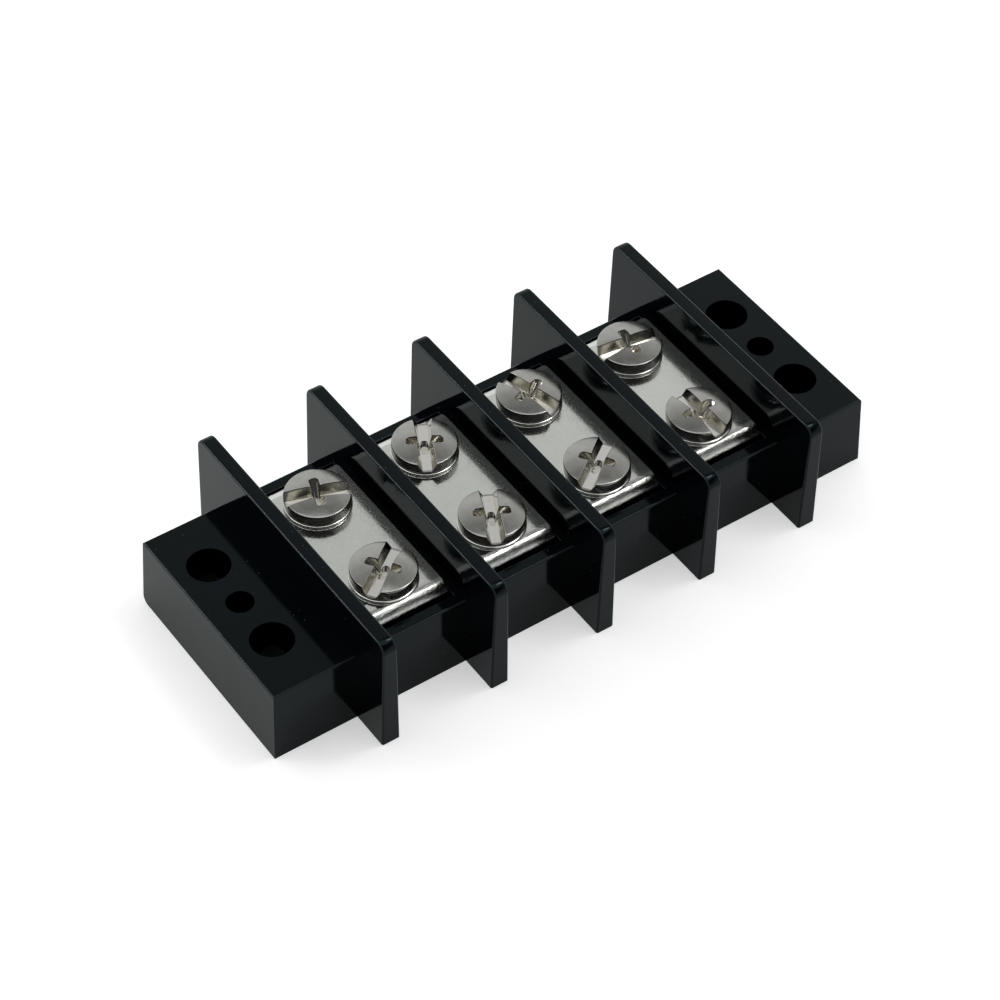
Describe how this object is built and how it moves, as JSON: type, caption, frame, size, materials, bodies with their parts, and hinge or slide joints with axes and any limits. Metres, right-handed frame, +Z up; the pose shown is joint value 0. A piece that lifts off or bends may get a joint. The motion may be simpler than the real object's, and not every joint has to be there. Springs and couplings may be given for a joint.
{
  "type": "barrier terminal block",
  "caption": "Black moulded barrier terminal block: upright walls part its poles, each with a bent plated strap and combined-drive screws; end blocks are drilled for mounting.",
  "frame": {"origin": "middle of the base, on the mounting surface", "axes": "+X along the row of poles, -Y towards the front of the poles, +Z up from the base"},
  "size_m": [0.0988, 0.0458, 0.0193],
  "materials": {
    "black_moulding": "glossy moulded black",
    "strap_plating": "satin nickel plate",
    "washer_plating": "bright nickel plate",
    "screw_plating": "bright nickel plate"
  },
  "bodies": {
    "base": {"housing": "black_moulding", "strap_1": "strap_plating", "strap_2": "strap_plating", "strap_3": "strap_plating", "strap_4": "strap_plating"},
    "washer_1_front": {"washer_1_front": "washer_plating"},
    "screw_1_front": {"screw_1_front": "screw_plating"},
    "washer_1_rear": {"washer_1_rear": "washer_plating"},
    "screw_1_rear": {"screw_1_rear": "screw_plating"},
    "washer_2_front": {"washer_2_front": "washer_plating"},
    "screw_2_front": {"screw_2_front": "screw_plating"},
    "washer_2_rear": {"washer_2_rear": "washer_plating"},
    "screw_2_rear": {"screw_2_rear": "screw_plating"},
    "washer_3_front": {"washer_3_front": "washer_plating"},
    "screw_3_front": {"screw_3_front": "screw_plating"},
    "washer_3_rear": {"washer_3_rear": "washer_plating"},
    "screw_3_rear": {"screw_3_rear": "screw_plating"},
    "washer_4_front": {"washer_4_front": "washer_plating"},
    "screw_4_front": {"screw_4_front": "screw_plating"},
    "washer_4_rear": {"washer_4_rear": "washer_plating"},
    "screw_4_rear": {"screw_4_rear": "screw_plating"}
  },
  "joints": [
    {"name": "washer_1_front_lift", "type": "slide", "parent": "base", "child": "washer_1_front", "axis": [0, 0, 1], "range_m": [0, 0.0056]},
    {"name": "screw_1_front_turn", "type": "hinge", "parent": "washer_1_front", "child": "screw_1_front", "pos_m": [-0.02625, -0.0081, 0.01325], "axis": [0, 0, 1], "range_deg": [0, 2520]},
    {"name": "washer_1_rear_lift", "type": "slide", "parent": "base", "child": "washer_1_rear", "axis": [0, 0, 1], "range_m": [0, 0.0056]},
    {"name": "screw_1_rear_turn", "type": "hinge", "parent": "washer_1_rear", "child": "screw_1_rear", "pos_m": [-0.02625, 0.0081, 0.01325], "axis": [0, 0, 1], "range_deg": [0, 2520]},
    {"name": "washer_2_front_lift", "type": "slide", "parent": "base", "child": "washer_2_front", "axis": [0, 0, 1], "range_m": [0, 0.0056]},
    {"name": "screw_2_front_turn", "type": "hinge", "parent": "washer_2_front", "child": "screw_2_front", "pos_m": [-0.00875, -0.0081, 0.01325], "axis": [0, 0, 1], "range_deg": [0, 2520]},
    {"name": "washer_2_rear_lift", "type": "slide", "parent": "base", "child": "washer_2_rear", "axis": [0, 0, 1], "range_m": [0, 0.0056]},
    {"name": "screw_2_rear_turn", "type": "hinge", "parent": "washer_2_rear", "child": "screw_2_rear", "pos_m": [-0.00875, 0.0081, 0.01325], "axis": [0, 0, 1], "range_deg": [0, 2520]},
    {"name": "washer_3_front_lift", "type": "slide", "parent": "base", "child": "washer_3_front", "axis": [0, 0, 1], "range_m": [0, 0.0056]},
    {"name": "screw_3_front_turn", "type": "hinge", "parent": "washer_3_front", "child": "screw_3_front", "pos_m": [0.00875, -0.0081, 0.01325], "axis": [0, 0, 1], "range_deg": [0, 2520]},
    {"name": "washer_3_rear_lift", "type": "slide", "parent": "base", "child": "washer_3_rear", "axis": [0, 0, 1], "range_m": [0, 0.0056]},
    {"name": "screw_3_rear_turn", "type": "hinge", "parent": "washer_3_rear", "child": "screw_3_rear", "pos_m": [0.00875, 0.0081, 0.01325], "axis": [0, 0, 1], "range_deg": [0, 2520]},
    {"name": "washer_4_front_lift", "type": "slide", "parent": "base", "child": "washer_4_front", "axis": [0, 0, 1], "range_m": [0, 0.0056]},
    {"name": "screw_4_front_turn", "type": "hinge", "parent": "washer_4_front", "child": "screw_4_front", "pos_m": [0.02625, -0.0081, 0.01325], "axis": [0, 0, 1], "range_deg": [0, 2520]},
    {"name": "washer_4_rear_lift", "type": "slide", "parent": "base", "child": "washer_4_rear", "axis": [0, 0, 1], "range_m": [0, 0.0056]},
    {"name": "screw_4_rear_turn", "type": "hinge", "parent": "washer_4_rear", "child": "screw_4_rear", "pos_m": [0.02625, 0.0081, 0.01325], "axis": [0, 0, 1], "range_deg": [0, 2520]}
  ],
  "couplings": [
    {"joint": "screw_1_front_turn", "follows": "washer_1_front_lift", "rad_per_m": 7854},
    {"joint": "screw_1_rear_turn", "follows": "washer_1_rear_lift", "rad_per_m": 7854},
    {"joint": "screw_2_front_turn", "follows": "washer_2_front_lift", "rad_per_m": 7854},
    {"joint": "screw_2_rear_turn", "follows": "washer_2_rear_lift", "rad_per_m": 7854},
    {"joint": "screw_3_front_turn", "follows": "washer_3_front_lift", "rad_per_m": 7854},
    {"joint": "screw_3_rear_turn", "follows": "washer_3_rear_lift", "rad_per_m": 7854},
    {"joint": "screw_4_front_turn", "follows": "washer_4_front_lift", "rad_per_m": 7854},
    {"joint": "screw_4_rear_turn", "follows": "washer_4_rear_lift", "rad_per_m": 7854}
  ]
}
